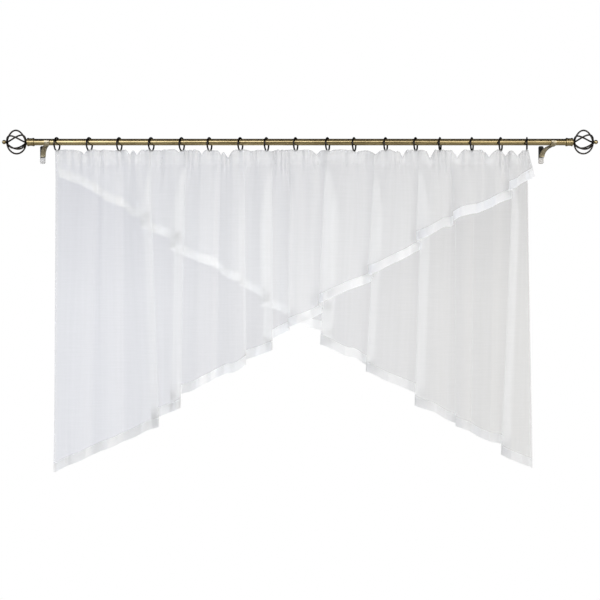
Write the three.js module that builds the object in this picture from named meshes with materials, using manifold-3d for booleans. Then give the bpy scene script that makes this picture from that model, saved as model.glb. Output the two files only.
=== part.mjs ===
// Sheer crossover cafe curtain: two gathered voile panels with slanted, ribbon-edged hems,
// hung by rings from a rod with wire-cage finials and two wall brackets.
// Units are millimetres. +X runs along the rod, +Y into the wall, +Z up.
// Inside the assembly the rod's axis is y = 0, z = 0, with the rod's middle at x = 0.

import * as THREE from 'three';
import { mergeVertices } from 'three/addons/utils/BufferGeometryUtils.js';
import Module from 'manifold-3d';

const wasm = await Module();
wasm.setup();

// Driving dimensions
const fitGap = 0.3;
const mergeTolerance = 1e-4;
const wallDistance = 55;

const rod = { radius: 9.5, halfLength: 787, sides: 24 };

const collar = { radius: 11, inner: 771, outer: 793 };
const cage = { radius: 33.6, wire: 2.4, hubRadius: 7, hubLength: 5, outer: 851.7, ribs: 6 };
const cageTwist = { left: THREE.MathUtils.degToRad(53), right: THREE.MathUtils.degToRad(-53) };
const cageSweep = THREE.MathUtils.degToRad(80);
const cagePhase = { left: THREE.MathUtils.degToRad(-10), right: THREE.MathUtils.degToRad(4) };
const ball = { radius: 6.2, neckRadius: 3.4, centre: 858 };
const finialSides = 12;

const plate = { width: 15, height: 52, thickness: 3, cornerRadius: 4, centreZ: -31 };
const arm = { width: 15, thickness: 3, lean: 21, footZ: -38, lipAngle: -25 };
const saddleX = { left: -736.5, right: 730.5 };
const armBend = { under: 0.46, behind: 0.35 };

const ring = { radius: 19, wire: 2.4, sides: 6, segments: 16 };

const sheetThickness = 1.3;
const cloth = { leftHeading: -708, leftHem: -713, rightHeading: 660, rightHem: 676 };
const ribbon = { height: 27.5 };
const tape = { top: -44, bottom: -66 };

// Slanted hems: the drop of the long side and of the short side of each panel, and the bow between them
const longDrop = -958;
const backLongDrop = -947;
const shortDrop = -100;
const frontHemBow = 6;
const backHemBow = -8;
const frontTipFlare = 20;
const backTipFlare = 8;

// Folds that both panels share, because they are gathered on one tape.
// heading and hem: x of the fold's visible line at the tape and at the long hem; depth: front to back;
// lap: how far the front lobe covers its neighbour; roll: width that turns back at the lobe's edge.
const folds = [
  { heading: -610, hem: -634, depth: 12, lap: -26, roll: 26 },
  { heading: -536, hem: -533, depth: 14, lap: -24, roll: 26 },
  { heading: -438, hem: -406, depth: 30, lap: 25, roll: 20 },
  { heading: -336, hem: -354, depth: 34, lap: 32, roll: 30 },
  { heading: -249, hem: -266, depth: 16, lap: -18, roll: 36 },
  { heading: -166, hem: -158, depth: 22, lap: 6, roll: 34 },
  { heading: -86, hem: -84, depth: 31, lap: 26, roll: 26 },
  { heading: -22, hem: -38, depth: 22, lap: 2, roll: 26 },
  { heading: 78, hem: 35, depth: 38, lap: 38, roll: 38 },
  { heading: 220, hem: 168, depth: 30, lap: 24, roll: 40 },
  { heading: 348, hem: 320, depth: 33, lap: 30, roll: 36 },
  { heading: 447, hem: 449, depth: 20, lap: 0, roll: 22 },
  { heading: 536, hem: 523, depth: 10, lap: -26, roll: 24 },
  { heading: 611, hem: 575, depth: 32, lap: 29, roll: 24 },
];
const foldRun = 20;
const rollSlope = 0.12;
const centreTrough = -54;
const edgeSetBack = 5;
const headingShare = 0.3;
const fullDepthDrop = 170;
const depthEase = 1.6;
const layerGap = { heading: 3.2, full: 6.4 };

// Rings: x on the rod, degrees that the near side is turned to the left, and the notch that the
// frill has to the right of each one
const rings = [
  { x: -705, yaw: 14, notchX: -624, notch: 14 },
  { x: -611, yaw: 16, notchX: -560, notch: 3 },
  { x: -524, yaw: 14, notchX: -484, notch: 13 },
  { x: -431.5, yaw: 17, notchX: -380, notch: 4 },
  { x: -343, yaw: 17, notchX: -288, notch: 12 },
  { x: -262.5, yaw: 16, notchX: -212, notch: 22 },
  { x: -173, yaw: 18, notchX: -141, notch: 4 },
  { x: -97, yaw: 17, notchX: -55, notch: 4 },
  { x: -12.5, yaw: 18, notchX: 48, notch: 12 },
  { x: 80, yaw: 18, notchX: 112, notch: 3 },
  { x: 157, yaw: 17, notchX: 220, notch: 12 },
  { x: 248.5, yaw: 19, notchX: 298, notch: 28 },
  { x: 335.5, yaw: 20, notchX: 376, notch: 28 },
  { x: 406, yaw: 15, notchX: 457, notch: 20 },
  { x: 498.5, yaw: 19, notchX: 545, notch: 20 },
  { x: 582, yaw: 22, notchX: 616, notch: 16 },
  { x: 658, yaw: 11, notchX: 690, notch: 0 },
];
const notchHalfWidth = 22;

// Materials
const voile = { color: 0xe9eaf0, roughness: 0.9, metalness: 0 };
const satin = { color: 0xf6f6f8, roughness: 0.4, metalness: 0 };
const brass = { color: 0x76663f, roughness: 0.4, metalness: 0.8 };
const darkMetal = { color: 0x2a241c, roughness: 0.45, metalness: 0.8 };

const { lerp, clamp, smoothstep } = THREE.MathUtils;

const ringCentreZ = rod.radius + fitGap - (ring.radius - ring.wire);
const headingTop = ringCentreZ - ring.radius - ring.wire - fitGap;

const curtain = new THREE.Group();
const assembly = new THREE.Group();
curtain.add(assembly);

function addMesh(parent, name, geometry, finish) {
  const mesh = new THREE.Mesh(geometry, new THREE.MeshStandardMaterial(finish));
  mesh.name = name;
  parent.add(mesh);
  return mesh;
}

// Folded cloth

// Value at height z that goes from start at the tape to end a little way below it
function grown(z, start, end) {
  const below = clamp((tape.bottom - z) / fullDepthDrop, 0, 1);
  return lerp(start, end, 1 - (1 - below) ** depthEase);
}

// Turning points of the folds at height z from left to right: each fold has a crown, from which its front
// lobe rolls back to the lobe's edge, and a trough behind that edge. skew pulls the lobe sideways over the
// trough, by an amount for each millimetre that it stands in front.
function foldKnots(z) {
  const drop = clamp((tape.bottom - z) / (tape.bottom - longDrop), 0, 1);
  const share = grown(z, headingShare, 1);
  const gap = grown(z, layerGap.heading, layerGap.full);
  const knots = [{ x: lerp(cloth.leftHeading, cloth.leftHem, drop), y: edgeSetBack, skew: 0 }];
  for (const { heading, hem, depth, lap, roll } of folds) {
    const side = heading < centreTrough ? 1 : -1;
    const edge = depth / 2 - rollSlope * roll;
    const skew = (side * (lap + foldRun)) / (depth / 2 + edge);
    const x = lerp(heading, hem, drop) - skew * (edge * share + gap / 2);
    const crown = { x: x - side * roll, y: -depth / 2, skew };
    const crest = { x, y: -edge, skew };
    const trough = { x: x + side * foldRun, y: depth / 2, skew };
    knots.push(...(side > 0 ? [crown, crest, trough] : [trough, crest, crown]));
  }
  knots.push({ x: lerp(cloth.rightHeading, cloth.rightHem, drop), y: edgeSetBack, skew: 0 });
  return knots;
}

// Each column of the cloth keeps its place between two knots all the way down
function columnPlan() {
  const faceSteps = 4;
  const rollSteps = 1;
  const runSteps = 2;
  const counts = folds.flatMap(({ heading }) => (
    heading < centreTrough ? [faceSteps, rollSteps, runSteps] : [faceSteps, runSteps, rollSteps]
  ));
  counts.push(faceSteps);
  const columns = [];
  counts.forEach((steps, span) => {
    for (let step = 0; step < steps; step += 1) {
      columns.push({ span, part: step / steps });
    }
  });
  columns.push({ span: counts.length - 1, part: 1 });
  return columns;
}

const columns = columnPlan();

// Point of the folded cloth: layer is how many layer gaps it stands in front of the back panel
function clothPoint(column, z, layer, tipShift = 0) {
  const knots = foldKnots(z);
  const from = knots[column.span];
  const to = knots[column.span + 1];
  const across = lerp(from.x, to.x, column.part) + tipShift;
  const wave = lerp(from.y, to.y, smoothstep(column.part, 0, 1));
  const y = wave * grown(z, headingShare, 1) - layer * grown(z, layerGap.heading, layerGap.full);
  const skew = lerp(from.skew, to.skew, column.part);
  return new THREE.Vector3(across - skew * y, y, z);
}

// Share of the flat width at each column, measured along the folded cloth at full depth
function flatShares() {
  const points = columns.map((column) => clothPoint(column, longDrop, 0));
  const lengths = [0];
  for (let i = 1; i < points.length; i += 1) {
    lengths.push(lengths[i - 1] + points[i].distanceTo(points[i - 1]));
  }
  return lengths.map((length) => length / lengths.at(-1));
}

const shares = flatShares();

function frillTop(x) {
  let z = headingTop;
  for (const { notchX, notch } of rings) {
    const off = clamp((x - notchX) / notchHalfWidth, -1, 1);
    z -= notch * (1 - off * off) ** 2;
  }
  return z;
}

// Closed sheet around a grid of middle points, rows from top to bottom. Its thickness is measured
// level, so that its top and bottom edges stay square to the drop.
function sheetGeometry(grid) {
  const rows = grid.length;
  const across = grid[0].length;
  const positions = [];
  for (const side of [-1, 1]) {
    for (let r = 0; r < rows; r += 1) {
      for (let c = 0; c < across; c += 1) {
        const point = grid[r][c];
        const into = point.clone().sub(grid[r][Math.max(c - 1, 0)]).setZ(0).normalize();
        const onward = grid[r][Math.min(c + 1, across - 1)].clone().sub(point).setZ(0).normalize();
        const right = into.add(onward);
        const normal = new THREE.Vector3(-right.y, right.x, 0).normalize();
        positions.push(...point.clone().addScaledVector(normal, (side * sheetThickness) / 2).toArray());
      }
    }
  }
  const back = rows * across;
  const at = (r, c) => r * across + c;
  const triangles = [];
  for (let r = 0; r + 1 < rows; r += 1) {
    for (let c = 0; c + 1 < across; c += 1) {
      const [a, b, d, e] = [at(r, c), at(r + 1, c), at(r + 1, c + 1), at(r, c + 1)];
      triangles.push(a, b, d, a, d, e);
      triangles.push(back + a, back + d, back + b, back + a, back + e, back + d);
    }
  }
  const last = rows - 1;
  const end = across - 1;
  for (let r = 0; r < last; r += 1) {
    const [p, q, s, t] = [at(r, 0), at(r + 1, 0), at(r, end), at(r + 1, end)];
    triangles.push(q, p, back + p, q, back + p, back + q);
    triangles.push(s, t, back + t, s, back + t, back + s);
  }
  for (let c = 0; c < end; c += 1) {
    const [p, q, s, t] = [at(0, c), at(0, c + 1), at(last, c), at(last, c + 1)];
    triangles.push(p, q, back + q, p, back + q, back + p);
    triangles.push(t, s, back + t, s, back + s, back + t);
  }
  const geometry = new THREE.BufferGeometry();
  geometry.setAttribute('position', new THREE.Float32BufferAttribute(positions, 3));
  geometry.setIndex(triangles);
  return geometry;
}

// Heights of one column of a panel, from the frill's top to the ribbon
function columnHeights(top, end) {
  const upperRows = 3;
  const lowerRows = 3;
  const heights = [top, tape.bottom];
  const fullDepth = tape.bottom - fullDepthDrop;
  const turn = end < fullDepth ? fullDepth : lerp(tape.bottom, end, upperRows / (upperRows + lowerRows));
  for (let i = 1; i <= upperRows; i += 1) heights.push(lerp(tape.bottom, turn, i / upperRows));
  for (let i = 1; i <= lowerRows; i += 1) heights.push(lerp(turn, end, i / lowerRows));
  return heights;
}

// A panel with its ribbon: hemAt gives the hem's height from the share of the flat width, and
// tipAt the sideways flare at the short corner
function addPanel(name, layer, hemAt, tipAt) {
  const panelColumns = [];
  const ribbonColumns = [];
  columns.forEach((column, i) => {
    const hem = hemAt(shares[i]);
    const ribbonTop = hem + ribbon.height;
    const place = (z) => {
      const sag = clamp((headingTop - z) / (headingTop - shortDrop), 0, 1);
      return clothPoint(column, z, layer, tipAt(shares[i]) * sag);
    };
    const top = frillTop(clothPoint(column, headingTop, layer).x);
    panelColumns.push(columnHeights(top, ribbonTop + fitGap).map(place));
    ribbonColumns.push([ribbonTop, hem].map(place));
  });
  const byRow = (list) => list[0].map((_, r) => list.map((column) => column[r]));
  addMesh(assembly, `${name}_panel`, sheetGeometry(byRow(panelColumns)), voile);
  addMesh(assembly, `${name}_ribbon`, sheetGeometry(byRow(ribbonColumns)), satin);
}

// Height of a hem at a share of the flat width, from the left drop to the right one
function slanted(left, right, bow) {
  return (share) => lerp(left, right, share) + 4 * bow * share * (1 - share);
}

const tipWidth = 0.033;
addPanel(
  'front',
  1,
  slanted(longDrop, shortDrop, frontHemBow),
  (share) => frontTipFlare * smoothstep(share, 1 - tipWidth, 1),
);
addPanel(
  'back',
  0,
  slanted(shortDrop, backLongDrop, backHemBow),
  (share) => backTipFlare * (1 - smoothstep(share, 0, tipWidth)),
);

const tapeGrid = [tape.top, tape.bottom].map((z) => columns.map((column) => clothPoint(column, z, -1)));
addMesh(assembly, 'heading_tape', sheetGeometry(tapeGrid), satin);

// Rod and rings

const rodGeometry = new THREE.CylinderGeometry(rod.radius, rod.radius, rod.halfLength * 2, rod.sides);
addMesh(assembly, 'rod', rodGeometry.rotateZ(Math.PI / 2), brass);

rings.forEach(({ x, yaw }, i) => {
  const geometry = new THREE.TorusGeometry(ring.radius, ring.wire, ring.sides, ring.segments);
  geometry.rotateY(Math.PI / 2);
  const mesh = addMesh(assembly, `ring_${String(i + 1).padStart(2, '0')}`, geometry, darkMetal);
  mesh.position.set(x, 0, ringCentreZ);
  mesh.rotation.z = -THREE.MathUtils.degToRad(yaw);
});

// Finials, each made along its own +Y axis, which points outward along the rod

function solidOf(geometry) {
  geometry.deleteAttribute('normal');
  geometry.deleteAttribute('uv');
  const merged = mergeVertices(geometry, mergeTolerance);
  return new wasm.Manifold(
    new wasm.Mesh({
      numProp: 3,
      vertProperties: new Float32Array(merged.attributes.position.array),
      triVerts: new Uint32Array(merged.index.array),
    }),
  );
}

function geometryOf(solid) {
  const { vertProperties, triVerts } = solid.getMesh();
  const geometry = new THREE.BufferGeometry();
  geometry.setAttribute('position', new THREE.BufferAttribute(new Float32Array(vertProperties), 3));
  geometry.setIndex(new THREE.BufferAttribute(new Uint32Array(triVerts), 1));
  return geometry;
}

function latheGeometry(outline, segments) {
  return new THREE.LatheGeometry(outline.map(([radius, y]) => new THREE.Vector2(radius, y)), segments);
}

function collarGeometry() {
  const bore = rod.radius + fitGap;
  const floor = rod.halfLength + fitGap;
  const chamfer = 1.5;
  const outline = [
    [0, floor],
    [bore, floor],
    [bore, collar.inner],
    [collar.radius, collar.inner],
    [collar.radius, collar.outer - chamfer],
    [collar.radius - chamfer, collar.outer],
    [0, collar.outer],
  ];
  return latheGeometry(outline, rod.sides);
}

function ribGeometry(angle, twist) {
  const inner = collar.outer + fitGap;
  const middle = (inner + cage.outer) / 2;
  const halfLength = (cage.outer - inner) / 2;
  const steps = 9;
  const points = [];
  for (let i = 0; i <= steps; i += 1) {
    const sweep = lerp(-cageSweep, cageSweep, i / steps);
    const turn = angle + (twist * sweep) / (2 * cageSweep);
    const radius = cage.radius * Math.cos(sweep);
    const along = middle + (halfLength - cage.wire) * Math.sin(sweep);
    points.push(new THREE.Vector3(radius * Math.sin(turn), along, radius * Math.cos(turn)));
  }
  const section = new THREE.Shape().absarc(0, 0, cage.wire, 0, Math.PI * 2);
  return new THREE.ExtrudeGeometry(section, {
    steps,
    curveSegments: 3,
    bevelEnabled: false,
    extrudePath: new THREE.CatmullRomCurve3(points),
  });
}

function hubGeometry(start) {
  const end = start + cage.hubLength;
  return latheGeometry([[0, start], [cage.hubRadius, start], [cage.hubRadius, end], [0, end]], finialSides);
}

function cageGeometry(phase, twist) {
  const inner = collar.outer + fitGap;
  let solid = solidOf(hubGeometry(inner)).add(solidOf(hubGeometry(cage.outer - cage.hubLength)));
  for (let i = 0; i < cage.ribs; i += 1) {
    solid = solid.add(solidOf(ribGeometry(phase + (i / cage.ribs) * Math.PI * 2, twist)));
  }
  return geometryOf(solid);
}

function ballGeometry() {
  const seat = cage.outer + fitGap;
  const start = Math.PI - Math.asin(ball.neckRadius / ball.radius);
  const steps = 7;
  const outline = [[0, seat], [ball.neckRadius, seat]];
  for (let i = 0; i < steps; i += 1) {
    const polar = lerp(start, 0, i / steps);
    outline.push([ball.radius * Math.sin(polar), ball.centre + ball.radius * Math.cos(polar)]);
  }
  outline.push([0, ball.centre + ball.radius]);
  return latheGeometry(outline, finialSides);
}

function addFinial(side, turn) {
  const finial = new THREE.Group();
  finial.rotation.z = turn;
  assembly.add(finial);
  addMesh(finial, `${side}_finial_collar`, collarGeometry(), brass);
  addMesh(finial, `${side}_finial_cage`, cageGeometry(cagePhase[side], cageTwist[side]), darkMetal);
  addMesh(finial, `${side}_finial_ball`, ballGeometry(), brass);
}

addFinial('left', Math.PI / 2);
addFinial('right', -Math.PI / 2);

// Wall brackets

function plateGeometry() {
  const [w, h, r] = [plate.width / 2, plate.height / 2, plate.cornerRadius];
  const outline = new THREE.Shape();
  outline.absarc(w - r, h - r, r, 0, Math.PI / 2);
  outline.absarc(r - w, h - r, r, Math.PI / 2, Math.PI);
  outline.absarc(r - w, r - h, r, Math.PI, Math.PI * 1.5);
  outline.absarc(w - r, r - h, r, Math.PI * 1.5, Math.PI * 2);
  const geometry = new THREE.ExtrudeGeometry(outline, {
    depth: plate.thickness,
    bevelEnabled: false,
    curveSegments: 4,
  });
  return geometry.rotateX(Math.PI / 2);
}

// Middle line of the arm in (y, z): a lip in front of the rod, round under it, then back and down the plate
function armLine() {
  const saddle = rod.radius + fitGap + arm.thickness / 2;
  const foot = wallDistance - plate.thickness - fitGap - arm.thickness / 2;
  const arcSteps = 8;
  const sweepSteps = 9;
  const points = [];
  for (let i = 0; i < arcSteps; i += 1) {
    const angle = THREE.MathUtils.degToRad(lerp(arm.lipAngle, 90, i / arcSteps));
    points.push(new THREE.Vector2(-saddle * Math.cos(angle), -saddle * Math.sin(angle)));
  }
  const sweep = new THREE.CubicBezierCurve(
    new THREE.Vector2(0, -saddle),
    new THREE.Vector2(foot * armBend.under, -saddle),
    new THREE.Vector2(foot, lerp(-saddle, arm.footZ, armBend.behind)),
    new THREE.Vector2(foot, arm.footZ),
  );
  return points.concat(sweep.getPoints(sweepSteps));
}

function armGeometry() {
  const line = armLine();
  const edge = (side) => line.map((point, i) => {
    const before = line[Math.max(i - 1, 0)];
    const after = line[Math.min(i + 1, line.length - 1)];
    const along = after.clone().sub(before).normalize();
    const half = (side * arm.thickness) / 2;
    return new THREE.Vector2(point.x - along.y * half, point.y + along.x * half);
  });
  const outline = new THREE.Shape(edge(1).concat(edge(-1).reverse()));
  const geometry = new THREE.ExtrudeGeometry(outline, { depth: arm.width, bevelEnabled: false });
  geometry.translate(0, 0, -arm.width / 2);
  const lean = -arm.lean / wallDistance;
  const place = new THREE.Matrix4().set(
    lean, 0, 1, 0,
    1, 0, 0, 0,
    0, 1, 0, 0,
    0, 0, 0, 1,
  );
  return geometry.applyMatrix4(place);
}

function addBracket(side) {
  const wallPlate = addMesh(assembly, `${side}_wall_plate`, plateGeometry(), darkMetal);
  wallPlate.position.set(saddleX[side] - arm.lean, wallDistance, plate.centreZ);
  const bracketArm = addMesh(assembly, `${side}_bracket_arm`, armGeometry(), brass);
  bracketArm.position.x = saddleX[side];
}

addBracket('left');
addBracket('right');

// The origin is the middle of the left wall plate's back face
assembly.position.set(arm.lean - saddleX.left, -wallDistance, -plate.centreZ);

export default curtain;
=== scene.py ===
import math

import bpy
import numpy as np
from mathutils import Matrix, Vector


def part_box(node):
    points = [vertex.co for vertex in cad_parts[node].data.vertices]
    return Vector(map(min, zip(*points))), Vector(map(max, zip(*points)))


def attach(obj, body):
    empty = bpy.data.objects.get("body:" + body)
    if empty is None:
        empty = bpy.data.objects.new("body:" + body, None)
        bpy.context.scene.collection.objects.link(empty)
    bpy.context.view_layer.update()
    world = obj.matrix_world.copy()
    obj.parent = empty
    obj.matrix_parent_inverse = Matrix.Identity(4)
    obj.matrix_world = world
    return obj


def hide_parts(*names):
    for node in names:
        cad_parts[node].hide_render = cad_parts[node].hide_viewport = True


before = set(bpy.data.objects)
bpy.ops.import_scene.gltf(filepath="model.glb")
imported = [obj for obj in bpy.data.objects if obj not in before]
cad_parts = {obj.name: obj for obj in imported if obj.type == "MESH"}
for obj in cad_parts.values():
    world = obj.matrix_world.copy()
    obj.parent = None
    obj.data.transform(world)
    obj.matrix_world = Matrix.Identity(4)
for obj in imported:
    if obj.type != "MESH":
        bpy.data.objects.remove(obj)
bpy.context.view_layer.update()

# Looks of a sheer crossover cafe curtain on its rod, in metres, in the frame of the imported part.
# Shapes are worked out in rod coordinates: x along the rod from its middle, y toward the wall and z up
# from the rod's axis. piece() moves them into the part's frame.

rng = np.random.default_rng(seed=7)

# Sizes that the solids have too

ROD_LOW, ROD_HIGH = (np.array(corner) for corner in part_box("rod"))
ROD_MIDDLE = (ROD_LOW + ROD_HIGH) / 2
ROD_RADIUS = (ROD_HIGH[2] - ROD_LOW[2]) / 2
ROD_HALF = (ROD_HIGH[0] - ROD_LOW[0]) / 2
WALL_DISTANCE = 0.055
FIT_GAP = 0.0003

LEFT_EDGE = {"heading": -0.708, "hem": -0.713}
RIGHT_EDGE = {"heading": 0.660, "hem": 0.676}
EDGE_SET_BACK = 0.005
TAPE_TOP = -0.044
TAPE_BOTTOM = -0.066
LONG_DROP = -0.958
BACK_LONG_DROP = -0.947
SHORT_DROP = -0.100
FRONT_HEM_BOW = 0.006
BACK_HEM_BOW = -0.008
FRONT_TIP_FLARE = 0.020
BACK_TIP_FLARE = 0.008
TIP_WIDTH = 0.033
RIBBON_HEIGHT = 0.0275

# Folds that both panels share: x of the fold's line at the tape, x at the long hem, depth front to back,
# how far the front lobe laps over its neighbour, width that rolls back at the lobe's edge
FOLDS = (
    (-0.610, -0.634, 0.012, -0.026, 0.026),
    (-0.536, -0.533, 0.014, -0.024, 0.026),
    (-0.438, -0.406, 0.030, 0.025, 0.020),
    (-0.336, -0.354, 0.034, 0.032, 0.030),
    (-0.249, -0.266, 0.016, -0.018, 0.036),
    (-0.166, -0.158, 0.022, 0.006, 0.034),
    (-0.086, -0.084, 0.031, 0.026, 0.026),
    (-0.022, -0.038, 0.022, 0.002, 0.026),
    (0.078, 0.035, 0.038, 0.038, 0.038),
    (0.220, 0.168, 0.030, 0.024, 0.040),
    (0.348, 0.320, 0.033, 0.030, 0.036),
    (0.447, 0.449, 0.020, 0.000, 0.022),
    (0.536, 0.523, 0.010, -0.026, 0.024),
    (0.611, 0.575, 0.032, 0.029, 0.024),
)

# FOLD_RUN is the width from a lobe's edge to the trough beside it, before the lap, and ROLL_SLOPE the mean
# slope of the width that rolls back. Lobes left of CENTRE_TROUGH lap to the right and the others to the
# left. The folds have HEADING_SHARE of their depth at the tape and all of it FULL_DEPTH_DROP below, and the
# gap between the panels grows in the same way
FOLD_RUN = 0.020
ROLL_SLOPE = 0.12
CENTRE_TROUGH = -0.054
HEADING_SHARE = 0.3
FULL_DEPTH_DROP = 0.170
GROWTH_POWER = 1.6
HEADING_GAP = 0.0032
FULL_GAP = 0.0064

# Rings: x on the rod and degrees that the near side is turned to the left
RINGS = (
    (-0.705, 14), (-0.611, 16), (-0.524, 14), (-0.4315, 17), (-0.343, 17), (-0.2625, 16),
    (-0.173, 18), (-0.097, 17), (-0.0125, 18), (0.080, 18), (0.157, 17), (0.2485, 19),
    (0.3355, 20), (0.406, 15), (0.4985, 19), (0.582, 22), (0.658, 11),
)
RING_RADIUS = 0.019
RING_WIRE = 0.0024
RING_CENTRE = ROD_RADIUS + FIT_GAP - (RING_RADIUS - RING_WIRE)

COLLAR = {"radius": 0.011, "inner": 0.771, "outer": 0.793}
CAGE = {"radius": 0.0336, "wire": 0.0024, "hub": 0.007, "hub_length": 0.005, "outer": 0.8517, "ribs": 6}
CAGE_TWIST = {"left": math.radians(53), "right": math.radians(-53)}
CAGE_SWEEP = math.radians(80)
CAGE_PHASE = {"left": math.radians(-10), "right": math.radians(4)}
BALL = {"radius": 0.0062, "neck": 0.0034, "centre": 0.858}

PLATE = {"width": 0.015, "height": 0.052, "thickness": 0.003, "corner": 0.004, "centre": -0.031}
ARM = {"width": 0.015, "thickness": 0.003, "lean": 0.021, "foot": -0.038, "lip": -25}
SADDLE = {"left": -0.7365, "right": 0.7305}
ARM_BEND = {"under": 0.46, "behind": 0.35}

# Fine shape of the cloth

# Notches in the frill's top edge: x, depth, half width
NOTCHES = (
    (-0.624, 0.0165, 0.014), (-0.494, 0.0120, 0.010), (-0.474, 0.0150, 0.014), (-0.355, 0.006, 0.012),
    (-0.285, 0.0135, 0.012), (-0.229, 0.0130, 0.009), (-0.210, 0.0240, 0.020), (-0.141, 0.004, 0.016),
    (-0.085, 0.005, 0.014), (0.050, 0.0140, 0.020), (0.094, 0.005, 0.014), (0.169, 0.008, 0.016),
    (0.222, 0.0140, 0.022), (0.282, 0.006, 0.014), (0.300, 0.028, 0.013), (0.380, 0.033, 0.015),
    (0.458, 0.0220, 0.020), (0.546, 0.0220, 0.024), (0.599, 0.0180, 0.018), (0.632, 0.0200, 0.018),
)
NOTCH_POWER = 1.5
FRILL_TOP = -0.0245
FRILL_LEAN = 0.0095
TURNED_DEPTH = 0.024
TURNED_GAP = 0.0007
SIDE_HEM = 0.009
RIBBON_GAP = 0.0004
RIBBON_LAP = 0.006
TAPE_INSET = 0.004

# Rows and columns of the cloth meshes; DROP_POWER crowds the rows of the drop toward the tape
TURNED_ROWS = 5
FRILL_ROWS = 14
DROP_ROWS = 80
DROP_POWER = 1.3
RIBBON_ROWS = 9
TAPE_ROWS = 7
FACE_STEPS = 30
ROLL_STEPS = 8
RUN_STEPS = 12
HEM_STEPS = 4

# Random waves along the flat cloth. STEP_RANGE is the shortest and the longest step in spacings. STEP_SPARE
# and STEP_EXTRA give more steps than the cloth takes, so that they pass its end
STEP_RANGE = (0.6, 1.4)
STEP_SPARE = 1.6
STEP_EXTRA = 4
CRINKLE = {"spacing": 0.011, "height": 0.0064}
HEM_WAVE = {"spacing": 0.045, "height": 0.0055}
FRILL_EDGE = {"spacing": 0.009, "height": 0.0012}
TAPE_EDGE = {"spacing": 0.04, "height": 0.0022}
HEM_WAVE_FADE = 20

# Gathers that the tape draws up: spacing, height at the tape, how far they run down
GATHERS = (
    (0.010, 0.0058, 0.016),
    (0.019, 0.0034, 0.070),
    (0.034, 0.0030, 0.240),
)

# Soft creases of both panels: x at the top, x at the bottom, z at the top, z at the bottom, half width,
# height toward the front
CREASES = (
    (-0.655, -0.660, -0.10, -0.80, 0.022, -0.0030),
    (-0.589, -0.583, -0.07, -0.42, 0.020, 0.0030),
    (-0.557, -0.556, -0.07, -0.50, 0.020, -0.0025),
    (-0.440, -0.425, -0.10, -0.80, 0.048, 0.0050),
    (-0.372, -0.368, -0.10, -0.60, 0.022, -0.0030),
    (-0.306, -0.308, -0.16, -0.72, 0.024, 0.0032),
    (-0.200, -0.192, -0.20, -0.66, 0.024, 0.0030),
    (-0.132, -0.122, -0.08, -0.50, 0.022, -0.0022),
    (-0.086, -0.084, -0.10, -0.75, 0.020, -0.0036),
    (-0.034, -0.040, -0.10, -0.75, 0.020, 0.0036),
    (0.014, 0.016, -0.09, -0.50, 0.016, -0.0032),
    (0.036, 0.034, -0.09, -0.50, 0.016, 0.0032),
    (0.157, 0.160, -0.08, -0.45, 0.018, -0.0026),
    (0.172, 0.186, -0.08, -0.45, 0.018, 0.0026),
    (0.262, 0.250, -0.07, -0.62, 0.026, -0.0030),
    (0.292, 0.290, -0.07, -0.70, 0.026, 0.0030),
    (0.378, 0.384, -0.10, -0.80, 0.022, 0.0030),
    (0.424, 0.420, -0.14, -0.80, 0.020, -0.0030),
    (0.476, 0.482, -0.10, -0.80, 0.018, 0.0028),
    (0.562, 0.560, -0.25, -0.85, 0.016, 0.0026),
    (0.640, 0.632, -0.20, -0.85, 0.020, -0.0030),
)
CREASE_FADE = 0.25

# Facets of the ribbons: x of the right end, and how far the cloth turns there, below 0 to the left and above
# 0 to the right, as a share of the slope FACET_TILT
FRONT_FACETS = (
    (-0.716, -1), (-0.669, 1.6), (-0.662, -1), (-0.617, -0.5), (-0.603, 0.9), (-0.555, -0.2), (-0.532, 0.9),
    (-0.455, -0.8), (-0.426, 0.8), (-0.406, -1), (-0.374, 0.8), (-0.354, -1), (-0.342, 0.8), (-0.313, -0.9),
    (-0.289, 0), (-0.267, 0.9), (-0.244, -0.8), (-0.220, 0), (-0.200, 0.8), (-0.126, 0), (-0.099, 0.9),
    (-0.084, -1), (-0.067, -0.2), (-0.058, 0.8), (-0.029, -0.3), (-0.009, 0), (0.033, 0.9), (0.061, -1),
    (0.070, 0), (0.081, 0.7), (0.151, -0.5), (0.184, 0.9), (0.206, -1), (0.220, 0), (0.302, 0.6),
    (0.322, -0.1), (0.342, 0.9), (0.360, -1), (0.387, -0.2), (0.436, 0.8), (0.452, -1), (0.467, 0),
    (0.476, 0.8), (0.526, -0.2), (0.534, 0.9), (0.545, -1), (0.567, 0), (0.609, 0.9), (0.637, -0.4),
    (0.650, 0.8), (0.684, 0),
)
BACK_FACETS = (
    (-0.664, 0.2), (-0.644, -0.1), (-0.624, 0.2), (-0.606, -0.2), (-0.554, 0.2), (-0.528, -0.3),
    (-0.502, 0.2), (-0.496, -0.1), (-0.452, 0.2), (-0.412, -0.3), (-0.371, 0.3), (-0.302, -0.2),
    (-0.255, 0.4), (-0.232, -0.3), (-0.200, 0.3), (-0.150, 0.6), (-0.107, 0.9), (0.039, -0.2),
    (0.061, -0.9), (0.133, -0.1), (0.180, 0.9), (0.194, -1), (0.258, -0.1), (0.316, 0.9), (0.325, -1),
    (0.397, -0.1), (0.426, 0.9), (0.444, -1), (0.452, 0), (0.467, -0.9), (0.525, 0), (0.583, 0.9),
    (0.609, -1), (0.644, 0), (0.664, 0.9), (0.690, 0),
)

# FACET_BLEND rounds the edges of facets, FACET_SPREAD is the width over which their drift is taken out,
# FACET_STAND sets the two ribbons apart, and FACET_RISE is how far up the facets die away
FACET_TILT = 0.55
FACET_BLEND = 0.005
FACET_STAND = 0.004
FACET_SPREAD = 0.045
FACET_RISE = 0.085
FACET_STEP = 0.001
FACET_MARGIN = 0.06


def lerp(a, b, t):
    return a + (b - a) * t


def smooth(t):
    t = np.clip(t, 0, 1)
    return t * t * (3 - 2 * t)


def unit(vector):
    return vector / np.linalg.norm(vector)


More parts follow.
